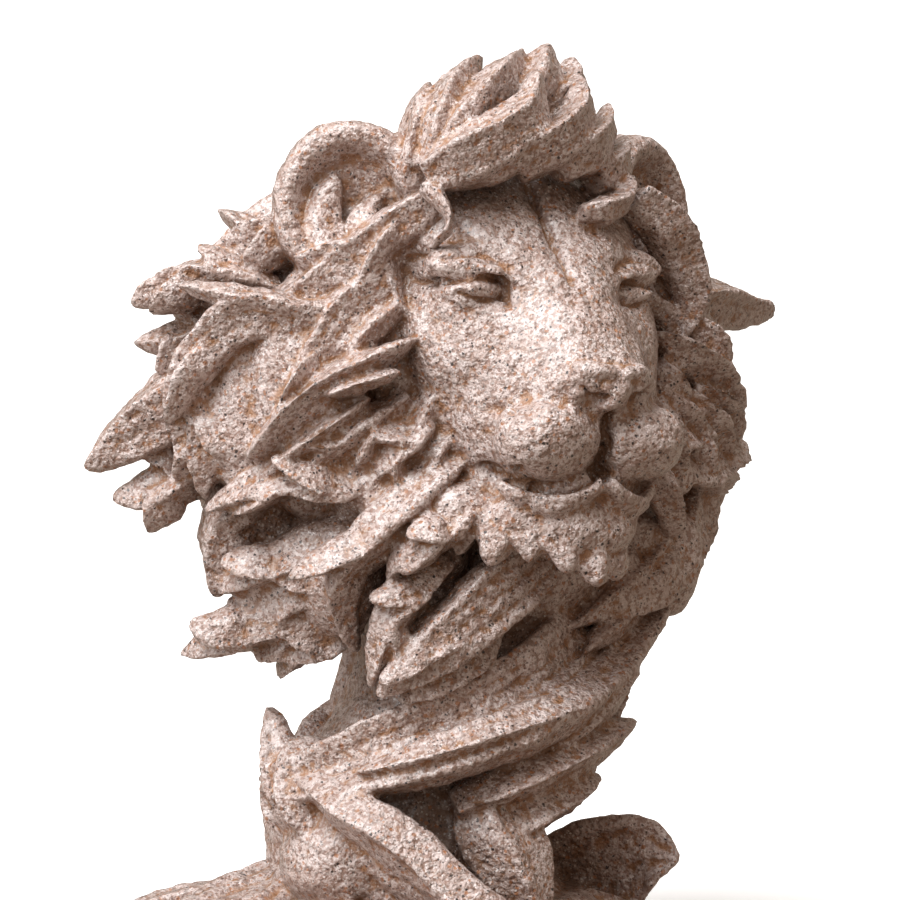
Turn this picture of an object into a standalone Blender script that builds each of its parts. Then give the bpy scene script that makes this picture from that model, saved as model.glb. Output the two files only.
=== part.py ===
"""A cast sandstone statue of a lion's head, whose mane turns round the neck and spreads into a low base.

The whole statue is one casting. Its face points along -Y, +X is the lion's left, and the
origin is the middle of the flat underside.
"""

import math

import bmesh
import bpy
import numpy as np
from mathutils import Euler, Vector, noise

# Driving sizes, in metres.
HEIGHT = 0.230  # flat underside to the top of the forelock
UNIT = HEIGHT / 230  # the figure's own measures, below, count in these
VOXEL = 0.0014  # grid of the fused clay
RUB = 4  # how far the hair is rubbed smooth, in square millimetres
HEAD_RUB = 12  # the same for the head, which is smoother
TRIANGLES = 9400  # faces kept on the finished casting

# The figure, in units of a 230th of its height.
EYES = Vector((14, -12, 166))  # between the ears, level with the eyes
HEAD_CORE = EYES + Vector((0, 34, -18))  # locks turn their crests away from here
EDGE = 1.3  # half the thickness of a lock along its edges
EYE_SHIFT = -1.1  # the eyes sit a little to the lion's right of the nose
NECK_AXIS = ((0, (-3, 1)), (42, (-4, 3)), (78, (10, 2)), (110, (13, 4)))


def head_point(across, ahead, up):
    """A point from the eye line: across to the lion's left, ahead of the ears, and up."""
    return EYES + Vector((across, -ahead, up))


def face_point(across, ahead, up):
    """A point of the face, which tilts a little: the lion's right side is the higher."""
    return head_point(across, ahead, up - 0.05 * across)


def neck_point(turn, radius, up):
    """A point round the neck. The turn is in degrees from the front, towards the lion's left."""
    level = [z for z, _ in NECK_AXIS]
    x = np.interp(up, level, [p[0] for _, p in NECK_AXIS])
    y = np.interp(up, level, [p[1] for _, p in NECK_AXIS])
    angle = math.radians(turn)
    return Vector((x + radius * math.sin(angle), y - radius * math.cos(angle), up))


def smooth_path(points, steps):
    """Points spread evenly along a smooth curve through the given ones."""
    ends = [2 * points[0] - points[1], *points, 2 * points[-1] - points[-2]]
    fine = []
    for before, start, end, after in zip(ends, ends[1:], ends[2:], ends[3:]):
        for i in range(12):
            t = i / 12
            fine.append(0.5 * (2 * start + (end - before) * t
                               + (2 * before - 5 * start + 4 * end - after) * t ** 2
                               + (3 * start - before - 3 * end + after) * t ** 3))
    fine.append(points[-1])
    lengths = np.cumsum([0] + [(b - a).length for a, b in zip(fine, fine[1:])])
    wanted = np.linspace(0, lengths[-1], steps)
    axes = [np.interp(wanted, lengths, [p[i] for p in fine]) for i in range(3)]
    return [Vector(p) for p in zip(*axes)]


def loft(clay, rings):
    """Joins rings of points into one closed skin."""
    made = [[clay.verts.new(p * UNIT) for p in ring] for ring in rings]
    count = len(made[0])
    for ring, following in zip(made, made[1:]):
        for i in range(count):
            j = (i + 1) % count
            clay.faces.new((ring[i], ring[j], following[j], following[i]))
    clay.faces.new(reversed(made[0]))
    clay.faces.new(made[-1])


def ball(clay, centre, radii, turn=(0, 0, 0)):
    """An ellipsoid, turned by degrees about X, Y and Z."""
    spin = Euler([math.radians(angle) for angle in turn]).to_matrix()
    rings = []
    for a in np.linspace(0.04, 0.96, 16) * math.pi:
        level = [Vector((math.sin(a) * math.cos(b), math.sin(a) * math.sin(b), -math.cos(a)))
                 for b in np.linspace(0, 2 * math.pi, 28, endpoint=False)]
        rings.append([centre + spin @ Vector([r * c for r, c in zip(radii, point)]) for point in level])
    loft(clay, rings)


def bar(clay, points, radii, steps=10):
    """A round bar along a smooth curve, with a ball at each end."""
    path = smooth_path([Vector(p) for p in points], steps)
    girth = np.interp(np.linspace(0, 1, steps), np.linspace(0, 1, len(radii)), radii)
    rings = []
    for i, centre in enumerate(path):
        along = (path[min(i + 1, steps - 1)] - path[max(i - 1, 0)]).normalized()
        side = along.orthogonal().normalized()
        top = along.cross(side)
        rings.append([centre + (side * math.cos(a) + top * math.sin(a)) * girth[i]
                      for a in np.linspace(0, 2 * math.pi, 16, endpoint=False)])
    loft(clay, rings)
    for end in (0, -1):
        ball(clay, path[end], [girth[end]] * 3)


def lock(clay, points, width, height, lean=0.0, sharp=1.3, root=0.6, hollow=0.0, strands=2.5, blunt=2.6,
         core=HEAD_CORE):
    """A lock of hair: a leaf along a smooth curve, with a crest on its outer side and a pointed end.

    lean moves the crest towards one edge, sharp hollows the flanks beside it, and hollow
    sinks the middle. strands are the grooves along it, and blunt keeps it wide to its end.
    """
    steps = max(14, int(sum((b - a).length for a, b in zip(points, points[1:])) / 2))
    across = 16
    path = smooth_path(points, steps)
    rings = []
    for i, centre in enumerate(path):
        t = i / (steps - 1)
        along = (path[min(i + 1, steps - 1)] - path[max(i - 1, 0)]).normalized()
        out = centre - core
        out = (out - along * out.dot(along)).normalized()
        side = along.cross(out)
        swell = min(1, root + (1 - root) * t / 0.3) * max(0.02, 1 - t ** blunt) ** 0.75
        half, tall, rim = width / 2 * swell, height * swell ** 0.8, EDGE * max(0.55, swell)
        ring = []
        for j in range(across + 1):
            u = 2 * j / across - 1
            near = (u - lean) / (1 - lean) if u > lean else (lean - u) / (1 + lean)
            rise = tall * (1 - near) ** sharp - hollow * tall * max(0, 1 - (u / 0.75) ** 2)
            groove = (1 - abs(math.sin(math.pi * strands * (u + 0.12 * math.sin(5 * t))))) ** 1.5
            rise -= min(0.12 * width, 0.3 * height) * swell * (1 - u * u) * groove
            ring.append(centre + side * u * half + out * (rise + rim))
        for j in range(across + 1):
            u = 1 - 2 * j / across
            ring.append(centre + side * u * half - out * (tall * 0.6 * (1 - u ** 6) + rim))
        rings.append(ring)
    loft(clay, rings)


def tuft(clay, points, width, height, lean=0.0):
    """A lock of hair, with two smaller ones that part from its edges if it isn't a broad one."""
    lock(clay, points, width, height, lean=lean)
    if not 10 < width < 18:
        return
    length = sum((b - a).length for a, b in zip(points, points[1:]))
    path = smooth_path(points, 9)
    first = 1 if math.sin(points[0].x + 2 * points[0].z) > 0 else -1
    for place, edge in ((2, first), (4, -first)):
        start = path[place]
        along = (path[place + 1] - path[place - 1]).normalized()
        out = start - HEAD_CORE
        out = (out - along * out.dot(along)).normalized()
        side = along.cross(out) * edge * width
        reach = along * length * 0.34
        spine = [start + side * 0.1, start + side * 0.36 + reach * 0.5 + out * height * 0.25,
                 start + side * 0.62 + reach + out * height * 0.1]
        lock(clay, spine, width * 0.5, height * 0.75, strands=1.5)


def ear(clay, side):
    """A round ear with a deep bowl and a thick rim. side is -1 for the lion's right and 1 for the left."""
    centre = face_point(side * 43, 0, 20)
    facing = Vector((side * math.sin(math.radians(30)), -math.cos(math.radians(30)), 0.1)).normalized()
    level = Vector((0, 0, 1)).cross(facing).normalized()
    upward = facing.cross(level)

    def at(wide, tall, rise):
        return centre + level * wide + upward * tall + facing * rise

    rings = []
    profile = ((0.03, -5.5), (0.36, -5), (0.58, -3.5), (0.68, -0.5), (0.78, 2), (0.91, 2.6), (1.02, 0.5),
               (1.06, -4), (1.02, -9), (0.85, -15), (0.5, -20), (0.03, -22))
    for share, rise in profile:
        rings.append([at(18.5 * share * math.cos(a), 20.5 * share * math.sin(a), rise)
                      for a in np.linspace(0, 2 * math.pi, 32, endpoint=False)])
    loft(clay, rings)
    behind = centre - facing * 40
    for foot, middle, tip, top, width in ((-5, -8, -4, 8, 13), (4, 3, 8, 4, 10)):
        spine = [at(-side * foot, -15, 0), at(-side * middle, -5, -2), at(-side * tip, top, -4)]
        lock(clay, spine, width, 4, strands=1, core=behind)


def face_form(clay):
    """The skull and face, through level outlines of the lion's left half, each copied to its right."""
    outlines = (
        # up, then (across, ahead) from the middle to the side
        (36, (0, 5), (9, 4), (17, 1), (24, -6), (29, -16)),
        (28, (0, 16), (10, 15), (20, 11), (28, 2), (33, -12)),
        (20, (0, 24), (10, 24), (20, 20), (29, 10), (34, -8)),
        (11, (0, 33), (9, 32), (19, 28), (29, 17), (35, -5)),
        (4, (0, 40), (9, 37), (17, 31), (28, 22), (35, -3)),
        (-1, (0, 44), (9, 40), (15, 33), (29, 23), (36, 0)),
        (-7, (0, 48.5), (9.5, 44.5), (16, 37), (30, 24.5), (37, 0)),
        (-13, (0, 53), (10, 49), (17, 40), (31, 24), (37, 0)),
        (-19, (0, 56), (10, 53), (17, 43), (31, 22), (36, -2)),
        (-26, (0, 52), (12, 50), (20, 42), (30, 20), (35, -4)),
        (-36, (0, 48), (12, 48), (21, 40), (28, 18), (33, -6)),
        (-45, (0, 46), (10, 45), (18, 37), (25, 17), (30, -8)),
        (-53, (0, 46), (8, 44), (14, 36), (21, 17), (27, -10)),
        (-60, (0, 34), (7, 32), (12, 25), (18, 11), (24, -12)),
        (-67, (0, 20), (6, 19), (11, 15), (16, 5), (20, -14)),
    )
    around = []
    for up, *half in outlines:
        left = [face_point(x, f, up) for x, f in half]
        right = [face_point(-x, f, up) for x, f in half]
        back = [face_point(half[-1][0] * 0.8, -32, up), face_point(-half[-1][0] * 0.8, -32, up)]
        around.append(smooth_path(right[:0:-1] + left + back[:1], 40) + back[1:])
    columns = [smooth_path(list(column), 44) for column in zip(*around)]
    loft(clay, [list(ring) for ring in zip(*columns)])


def head_forms(clay):
    """The skull, the face and the mass under the chin."""
    def put(across, ahead, up, radii, turn=(0, 0, 0)):
        ball(clay, face_point(across, ahead, up), radii, turn)

    face_form(clay)
    put(0, -6, 8, (31, 32, 30))
    put(0, -7, -62, (34, 28, 33))
    for side in (-1, 1):
        # Brow, eye and muzzle pad.
        put(side * 24.5 - 0.8, 22, 7.6, (9, 7.2, 4.6), (0, side * 6, 0))
        put(side * 22.3 + EYE_SHIFT, 24.6, 1.4, (7, 6.8, 5.2))
        put(side * 12.3 - 0.5, 43.5, -33.6, (13.6, 11.8, 10.8))
        # The lip under the pad.
        lip = ((21, 35, -46), (14, 42.5, -49.3), (7, 47.5, -47.8), (2, 49, -44.5))
        bar(clay, [face_point(side * x, f, z) for x, f, z in lip], (2.4, 3.1, 3.4, 3), steps=14)
        put(side * 7.5, 50, -21, (5, 6.5, 4.6))
    put(0, 51, -22, (6, 7.5, 6))
    put(0, 40, -56, (14, 9.5, 9))
    put(-13, 32, -55, (11, 9, 7.5))
    put(-24, 24, -53, (11, 8, 7))


def features(clay):
    """The eyelids and the wings of the nose, laid on the finished head."""
    lids = (
        # (across, ahead, up) from the outer to the inner corner, then the radii there
        (((31.5, 18.6, 4), (27.8, 24.2, 5.6), (22.3, 29, 6), (18.3, 31.4, 5.4), (15.3, 32.8, 3.4)),
         (0.9, 1.5, 1.8, 1.5, 0.8)),
        (((29.8, 20.2, 0), (25.8, 25.2, -2.6), (21.3, 28.2, -3.2), (16.8, 30.8, -1.8)),
         (0.7, 1.1, 1.1, 0.7)),
    )
    for side in (-1, 1):
        for edge, radii in lids:
            bar(clay, [face_point(side * x + EYE_SHIFT, f, z) for x, f, z in edge], radii, steps=14)
        wing = ((2.5, 56.5, -17.5), (7, 54.5, -17), (10.8, 51.5, -18.5), (12.4, 49, -22), (10.5, 49.5, -25.5))
        bar(clay, [face_point(side * x, f, z) for x, f, z in wing], (1.4, 2, 2.2, 1.9, 1.2), steps=14)


def mane_locks(clay):
    """The locks of the mane: pairs, then the ones of each side alone."""
    pairs = (
        # spine of (across, ahead, up) on the lion's right, width, height, lean
        (((-37, 8, 6), (-46, 5, -2), (-51, 3, -10), (-55, 0, -19), (-60, -3, -28), (-63, -8, -36)), 13, 7, 0.2),
        (((-35, 10, -2), (-42, 9, -7), (-47, 6, -15), (-50, 5, -24)), 9, 5, -0.2),
        (((-66, -6, -40), (-59, 2, -29), (-52, 8, -21), (-43, 14, -15), (-34, 17, -10)), 12, 11, -0.3),
        (((-63, -3, -43), (-57, 4, -36), (-51, 10, -30), (-45, 14, -24)), 9, 9, -0.2),
        (((-34, 13, -25), (-46, 10, -33), (-54, 6, -39), (-62, -1, -44)), 11, 7, 0.3),
        (((-40, 8, -42), (-50, 7, -45), (-58, 2, -44), (-66, -5, -46), (-76, -16, -53)), 12, 9, -0.2),
        (((-31, 15, -31), (-38, 15, -37), (-46, 11, -46)), 12, 8, -0.2),
        (((-28, 16, -22), (-33, 16, -32), (-36, 16, -41)), 8, 5, 0),
        (((-26, 18, -34), (-34, 17, -44), (-41, 13, -51)), 10, 5, 0),
        (((-48, -12, 14), (-57, -19, 13), (-67, -29, 10)), 15, 9, 0.1),
        (((-62, -20, -20), (-75, -27, -26), (-84, -33, -33), (-96, -40, -43)), 21, 10, 0.2),
        (((-64, -26, -40), (-79, -33, -48), (-90, -38, -51)), 15, 9, -0.3),
        (((-36, 8, 10), (-35, 9, 0), (-31, 14, -8)), 5, 4, 0),
    )
    near = (
        (((-26, 15, 24), (-34, 9, 18), (-43, 5, 11), (-51, 0, 5), (-60, -4, -1)), 12, 7, 0.2),
        (((-48, 2, -4), (-56, -1, -5), (-65, -6, -4), (-74, -13, -10), (-79, -19, -24), (-79, -21, -42)),
         13, 8, 0.4),
        (((-72, -17, -22), (-74, -18, -36), (-74, -18, -51)), 12, 7, 0),
        (((-58, -7, -12), (-66, -12, -22), (-68, -14, -36), (-68, -14, -48)), 22, 4, 0),
        (((-56, -14, 0), (-71, -24, 3), (-80, -30, 1), (-86, -34, -3)), 14, 9, 0.3),
        (((-60, -22, -7), (-73, -29, -11), (-85, -35, -12)), 13, 8, -0.3),
        (((-56, -12, -46), (-66, -21, -58), (-68, -24, -75)), 20, 9, 0),
        (((-44, 4, -55), (-50, 0, -60), (-58, -6, -65), (-70, -20, -74)), 13, 9, 0.2),
        (((-42, 2, -64), (-50, -2, -69), (-59, -11, -75), (-67, -20, -76)), 13, 8, -0.2),
        (((-42, -4, -74), (-57, -13, -80), (-65, -22, -85), (-75, -31, -90)), 16, 9, 0.2),
        (((-40, -2, -80), (-50, -10, -85), (-60, -22, -87)), 13, 9, 0),
        # Under the chin.
        (((-20, 15, -38), (-33, 19, -47), (-45, 17, -58), (-51, 12, -67), (-50, 9, -77), (-46, 8, -87)),
         15, 9, 0.3),
        (((-18, 20, -45), (-30, 25, -55), (-43, 26, -67)), 12, 8, 0.2),
        (((-28, 20, -64), (-41, 19, -76), (-45, 17, -88), (-46, 15, -95)), 12, 7, 0),
        (((2, 24, -60), (-16, 25, -72), (-32, 24, -85), (-46, 19, -97)), 19, 9, -0.5),
        (((-22, 20, -74), (-34, 24, -84), (-47, 22, -94)), 9, 7, 0),
        (((-14, 18, -80), (-26, 22, -90), (-41, 20, -99)), 9, 7, 0),
    )
    far = (
        (((27, 18, 24), (36, 16, 17), (43, 14, 8), (47, 13, -3), (44, 13, -13)), 10, 8, 0),
        (((50, 0, -14), (59, -6, -16), (65, -12, -26), (69, -17, -42), (74, -19, -62)), 13, 8, 0.3),
        (((60, -8, -24), (68, -12, -38), (72, -14, -58)), 18, 6, 0),
        (((52, -10, -4), (70, -20, -5), (87, -28, -7), (104, -37, -10)), 16, 9, 0),
        (((36, 16, -18), (42, 14, -24), (46, 10, -30)), 9, 5, 0),
        (((34, 18, -28), (40, 16, -37), (44, 10, -46)), 10, 5, 0),
        (((28, 24, -42), (36, 21, -52), (41, 14, -62)), 10, 6, 0),
        (((50, 0, -44), (60, -4, -56), (62, -6, -70)), 18, 7, 0),
        (((60, -4, -49), (50, 5, -63), (34, 15, -75), (16, 17, -80)), 12, 8, -0.4),
    )
    for spine, width, height, lean in pairs:
        for side in (-1, 1):
            tuft(clay, [head_point(-side * x, f, z) for x, f, z in spine], width, height, lean=-side * lean)
    for spine, width, height, lean in near:
        tuft(clay, [head_point(*p) for p in spine], width, height, lean=lean)
    for spine, width, height, lean in far:
        lock(clay, [head_point(*p) for p in spine], width, height, lean=lean)


def beard(clay):
    """The beard under the lower lip, and the fringe that runs back from it along the jaw."""
    hairs = (
        # root (across, ahead, up), tip, width
        ((-6, 33, -56), (-8, 46, -67), 15),
        ((0, 34, -57), (0, 47, -70), 15),
        ((7, 31, -57), (7, 44, -68.5), 14),
        ((-12, 28, -54), (-16, 41, -65), 14),
        ((-17, 24, -52), (-24, 36, -66), 13),
        ((-23, 18, -50), (-31, 31, -61), 10),
        ((-28, 13, -49), (-38, 27, -64), 12),
        ((-34, 9, -47), (-46, 21, -60), 10),
    )
    for root, tip, width in hairs:
        start, end = face_point(*root), face_point(*tip)
        middle = (start + end) / 2 + Vector((0, -3, 1))
        lock(clay, [start, middle, end], width, 5, strands=1.5, blunt=3.5)


def crest(clay):
    ball(clay, head_point(-29, 6, 30), (5.5, 5.5, 6))
    locks = (
        # spine of (across, ahead, up), width, height, lean
        (((-31, 7, 28), (-27, 5, 38), (-23, 1, 46), (-19, -3, 52)), 12, 8, 0),
        (((-29, 12, 31), (-24, 10, 41), (-17, 6, 51), (-7, 2, 58)), 14, 9, 0.2),
        (((-26, 12, 32), (-20, 14, 41), (-10, 13, 51), (2, 7, 60)), 14, 9, 0.2),
        (((-6, 12, 38), (2, 12, 50), (9, 8, 62)), 17, 9, 0),
        (((6, 10, 42), (14, 9, 50), (17, 4, 58)), 14, 8, 0),
        (((-32, 18, 30), (-24, 24, 35), (-14, 27, 41), (-7, 26, 48), (-3, 22, 55)), 16, 9, 0.1),
        (((-26, 21, 29), (-16, 26, 33), (-6, 28, 39), (-2, 25, 48)), 8, 6, 0),
        (((-10, 24, 31), (0, 26, 38), (8, 23, 45), (12, 18, 54)), 13, 9, 0),
        (((2, 25, 31), (12, 22, 36), (19, 17, 41), (23, 12, 47)), 12, 8, 0),
        (((14, 21, 28), (23, 16, 32), (29, 10, 39)), 11, 7, 0),
        (((14, 6, 28), (21, -2, 40), (22, -10, 49)), 15, 9, 0),
        (((-12, 0, 30), (-6, -8, 46), (0, -16, 54)), 18, 9, 0),
        # The small curls at the temples.
        (((-34, 19, 27), (-31, 23, 24), (-30, 26, 18), (-33, 21, 12)), 4, 4, 0),
        (((6, 28, 21), (13, 28, 21), (20, 25, 23), (25, 21, 29)), 7, 5, 0),
    )
    for spine, width, height, lean in locks:
        lock(clay, [head_point(*p) for p in spine], width, height, lean=lean)


def swirl(clay):
    """The neck, and the bands of mane that wind round it."""
    rings = []
    for up, girth in ((-4, 50), (6, 46), (14, 39), (22, 34), (34, 33), (48, 31), (57, 26), (66, 24), (76, 26),
                      (86, 29), (100, 34)):
        rings.append([neck_point(a, girth, up) for a in range(0, 360, 12)])
    loft(clay, rings)
    ball(clay, Vector((14, -8, 70)), (24, 24, 22))
    ball(clay, neck_point(95, 30, 54), (16, 18, 14))
    ball(clay, neck_point(-62, 28, 27), (18, 18, 16))
    ball(clay, neck_point(-78, 33, 42), (10, 10, 15))
    ball(clay, neck_point(-76, 33, 25), (8, 8, 10))
    bands = (
        # spine of (turn, radius, up), width, height, lean, hollow
        (((84, 52, 110), (76, 50, 99), (64, 43, 89), (47, 37, 81), (28, 37, 75), (8, 40, 69), (-14, 42, 62),
          (-36, 43, 56), (-58, 43, 50), (-78, 43, 46), (-96, 42, 46)), 27, 9, -0.7, 0.5),
        (((76, 53, 103), (64, 47, 93), (46, 41, 84), (26, 38, 77)), 9, 6, 0, 0),
        (((70, 53, 111), (60, 48, 101), (44, 41, 91), (24, 34, 83)), 9, 5, 0, 0),
        (((30, 42, 70), (8, 45, 64), (-16, 47, 59), (-34, 47, 54), (-50, 46, 50)), 9, 6, -0.3, 0),
        (((-12, 36, 40), (6, 40, 45), (24, 43, 50), (38, 46, 54), (50, 51, 59)), 14, 9, -0.4, 0),
        (((0, 37, 33), (14, 40, 37), (28, 43, 41), (42, 48, 46)), 13, 8, -0.3, 0),
        (((16, 41, 53), (26, 42, 60), (36, 44, 66), (46, 48, 72)), 12, 7, 0, 0),
        (((58, 36, 40), (54, 38, 50), (56, 41, 60), (61, 45, 70)), 12, 7, 0, 0),
        (((-4, 34, 46), (2, 39, 36), (6, 44, 26), (9, 49, 12)), 22, 7, 0.1, 0),
        (((-72, 36, 41), (-58, 40, 35), (-42, 42, 28), (-27, 45, 19), (-10, 53, 10), (8, 62, 3)),
         34, 8, -0.75, 0.3),
        # The rough tuft at the end of the first band.
        (((-76, 38, 35), (-84, 39, 44), (-90, 42, 53), (-96, 46, 63)), 10, 6, 0.2, 0),
        (((-66, 41, 34), (-73, 42, 42), (-78, 42, 49), (-81, 41, 56)), 9, 5, 0, 0),
        (((-86, 36, 52), (-89, 38, 44), (-87, 38, 37), (-80, 38, 30)), 10, 5, 0, 0),
        (((112, 36, 66), (88, 38, 66), (66, 42, 68)), 14, 7, 0, 0),
        (((112, 36, 57), (88, 40, 58), (64, 46, 60)), 12, 7, 0, 0),
        (((110, 36, 48), (80, 37, 48), (50, 41, 51)), 12, 6, 0, 0),
    )
    for spine, width, height, lean, hollow in bands:
        lock(clay, [neck_point(*p) for p in spine], width, height, lean=lean, hollow=hollow,
             strands=max(1.5, width / 6), blunt=4, core=neck_point(0, 0, 50))
    # Behind, the same bands carry on more plainly.
    for start, girth in ((110, 29), (150, 29), (190, 26)):
        spine = [neck_point(start + 20 * i, girth + 2 * i, 62 - 11 * i) for i in range(5)]
        lock(clay, spine, 22, 9, lean=0.4, core=neck_point(0, 0, 50))


def mane_back(clay):
    """The plainer back of the mane: the body under it all, and tiers of locks from crown to nape."""
    wide, deep, tall = 66, 35, 59
    ahead, level = -30, -24
    ball(clay, head_point(0, ahead, level), (wide, deep, tall))
    for side in (-1, 1):
        ball(clay, head_point(side * 44, -7, -24), (24, 14, 34))
        ball(clay, head_point(side * 35, 4, -27), (8, 9, 24))
        ball(clay, head_point(side * 62, -15, -32), (13, 10, 20))
        ball(clay, head_point(side * 44, -22, -62), (20, 14, 18))
        ball(clay, head_point(side * 46, 0, -68), (11, 13, 16))
        ball(clay, head_point(side * 42, 4, -50), (8, 7, 8))
        ball(clay, head_point(side * 60, -15, -14), (12, 8, 12))
        ball(clay, head_point(side * 43, 9, -47), (7, 7, 7))
    ball(clay, head_point(-27, 13, -63), (9, 9, 9))
    ball(clay, head_point(27, 8, -70), (9, 8, 9))
    ball(clay, head_point(35, 5, -60), (12, 9, 11))

    def shell(turn, up, share):
        share *= math.sqrt(max(0.06, 1 - ((up - level) / tall) ** 2))
        return head_point(wide * share * math.sin(turn), ahead - deep * share * math.cos(turn), up)

    for tier, (first, last) in enumerate(((-26, -80), (0, -50), (22, -22))):
        for step in range(-4, 5):
            stray = math.sin(7.3 * step + 2.1 * tier)
            turn = 19 * step + 9 * (tier % 2) + 4 * stray
            lift = (0.32 + 0.1 * stray) * math.cos(math.radians(turn))
            spine = [shell(math.radians(turn + (5 + 2 * stray) * i), up, 0.92 + lift * i * i / 9)
                     for i, up in enumerate(np.linspace(first, last - 4 * stray, 4))]
            lock(clay, spine, 24 + 3 * stray, 11, lean=0.4 * stray, strands=3)
    for step in range(-3, 4):
        turn = math.radians(21 * step + 6 * math.sin(5 * step))
        parting = head_point(16 * math.sin(turn), 2 - 10 * math.cos(turn), 33)
        spine = [parting, shell(turn, 30, 1), shell(turn, 15, 1.02), shell(turn + 0.06, -4, 1.03)]
        lock(clay, spine, 20, 6, lean=0.3, strands=2)
    for side in (-1, 1):
        for across, up in ((47, 12), (54, -5), (57, -22), (53, -40), (45, -58)):
            spine = [head_point(side * across, -16, up), head_point(side * (across + 7), -32, up - 8),
                     head_point(side * (across + 4), -46, up - 20)]
            lock(clay, spine, 20, 8, lean=0.2 * side, strands=2)
    for turn in range(110, 260, 24):
        spine = [neck_point(turn, 24, 96), neck_point(turn - 12, 24, 78), neck_point(turn - 34, 27, 56)]
        lock(clay, spine, 15, 5, strands=1, core=neck_point(0, 0, 76))


def base(clay):
    rings = []
    for up, girth in ((-4, 62), (3, 63), (7, 59), (11, 52), (16, 42)):
        rings.append([neck_point(a, girth, up) for a in range(0, 360, 12)])
    loft(clay, rings)
    for turn in range(-170, 190, 36):
        reach = 74 + 6 * math.cos(math.radians(turn + 120))
        drop = 4 - 4 * math.cos(math.radians(turn + 120))
        spine = (neck_point(turn - 34, 28, 20 - drop), neck_point(turn - 20, 46, 11 - drop / 2),
                 neck_point(turn - 6, 62, 8 - drop / 2), neck_point(turn + 6, reach, 6))
        lock(clay, spine, 30, 7.5, core=neck_point(0, 0, -60))
    # One lock stands up at the lion's left, hollow towards the front.
    spine = (neck_point(84, 24, 5), neck_point(74, 42, 16), neck_point(66, 57, 23), neck_point(62, 67, 23))
    lock(clay, spine, 28, 6, hollow=1.2, blunt=5, strands=1.5, core=neck_point(150, 140, 0))


def object_of(name, mesh):
    made = bpy.data.objects.new(name, mesh)
    bpy.context.scene.collection.objects.link(made)
    return made


def settled(thing):
    """The thing's mesh with its modifiers applied."""
    graph = bpy.context.evaluated_depsgraph_get()
    return bpy.data.meshes.new_from_object(thing.evaluated_get(graph))


def fused(clay, voxel, rub):
    """One closed skin round all the clay, with its seams rubbed smooth. rub is in square millimetres."""
    mesh = bpy.data.meshes.new("clay")
    clay.to_mesh(mesh)
    clay.free()
    thing = object_of("clay", mesh)
    remesh = thing.modifiers.new("fuse", "REMESH")
    remesh.mode = "VOXEL"
    remesh.voxel_size = voxel
    remesh.use_smooth_shade = True
    smooth = thing.modifiers.new("rub", "SMOOTH")
    smooth.factor = 0.5
    smooth.iterations = max(1, round(rub / (voxel * 1000) ** 2))
    made = settled(thing)
    bpy.data.objects.remove(thing)
    return made


def carve(points, normals, path, width, depth):
    """Sinks the face by depth under a line drawn on its front view, or lifts it if depth is negative."""
    line = [Vector((x, 0, z)) for x, z in path]
    line = np.array([(p.x, p.z) for p in smooth_path(line, 20)]) * UNIT
    front = np.stack([points[:, 0], points[:, 2]], 1)
    reach = width * UNIT * 2.5
    close = np.all((front > line.min(0) - reach) & (front < line.max(0) + reach), axis=1)
    close &= (points[:, 1] < (EYES.y - 8) * UNIT) & (normals[:, 1] < 0.1)
    index = np.nonzero(close)[0]
    near = front[index]
    least = np.full(len(near), 1e9)
    for a, b in zip(line, line[1:]):
        along = b - a
        share = np.clip((near - a) @ along / (along @ along), 0, 1)
        least = np.minimum(least, np.linalg.norm(near - a - share[:, None] * along, axis=1))
    fall = depth * UNIT * np.exp(-(least / (width * UNIT)) ** 2)
    points[index] -= normals[index] * fall[:, None]


def face_lines(mesh):
    """The eyelids, nostrils, mouth and the grooves of the brow."""
    count = len(mesh.vertices)
    points = np.empty(count * 3)
    normals = np.empty(count * 3)
    mesh.vertices.foreach_get("co", points)
    mesh.vertices.foreach_get("normal", normals)
    points, normals = points.reshape(-1, 3), normals.reshape(-1, 3)

    def cut(width, depth, *path):
        seen = [face_point(x, 0, z) for x, z in path]
        carve(points, normals, [(p.x, p.z) for p in seen], width, depth)

    cut(4.5, 1.2, (-2.3, 26), (-2.3, 14), (-2.3, 6))
    cut(1.0, 2, (-2.3, 26), (-2.3, 14), (-2.6, 4))
    cut(1.1, 4, (0, -28), (0, -34), (0, -44))
    eye_lines = (
        # width, depth, then (across, up): the eye under its lids, the fold over them, the inner corner
        (0.8, 2.2, (29.8, 2.4), (25.8, 3.6), (21.8, 4), (17.8, 3.4)),
        (0.7, 1.8, (27.8, 0), (23.8, -1.4), (19.8, -1.4), (17.3, 0)),
        (0.9, 1.2, (30.8, 8), (25.8, 9.6), (19.8, 9.4), (14.8, 7)),
        (0.9, 2, (17.2, 4), (16.2, 1.5), (16.6, -2)),
    )
    for side in (-1, 1):
        for width, depth, *path in eye_lines:
            cut(width, depth, *[(side * x + EYE_SHIFT, z) for x, z in path])
        # The nostril, the mouth and the folds round the muzzle.
        cut(1.3, 3.6, (side * 4.5, -24), (side * 7.5, -23.5), (side * 9.8, -21.5))
        mouth = ((2, -41.5), (7, -45), (13, -46.3), (18, -45.2), (22.5, -42))
        cut(0.9, 3, *[(side * x, z) for x, z in mouth])
        cut(1.6, 1.6, (side * 13, -25), (side * 18, -24), (side * 22.5, -27.5))
    mesh.vertices.foreach_set("co", points.ravel())
    mesh.update()


def worked(mesh, depth, size):
    """Lifts and sinks the skin a little, unevenly, as hand modelling does."""
    for vertex, normal in zip(mesh.vertices, [v.normal.copy() for v in mesh.vertices]):
        here = vertex.co / (size * UNIT)
        uneven = noise.noise(here) + 0.45 * noise.noise(here * 2.6) + 0.25 * noise.noise(here * 6)
        vertex.co += normal * (depth * UNIT * uneven)
    mesh.update()


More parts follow.
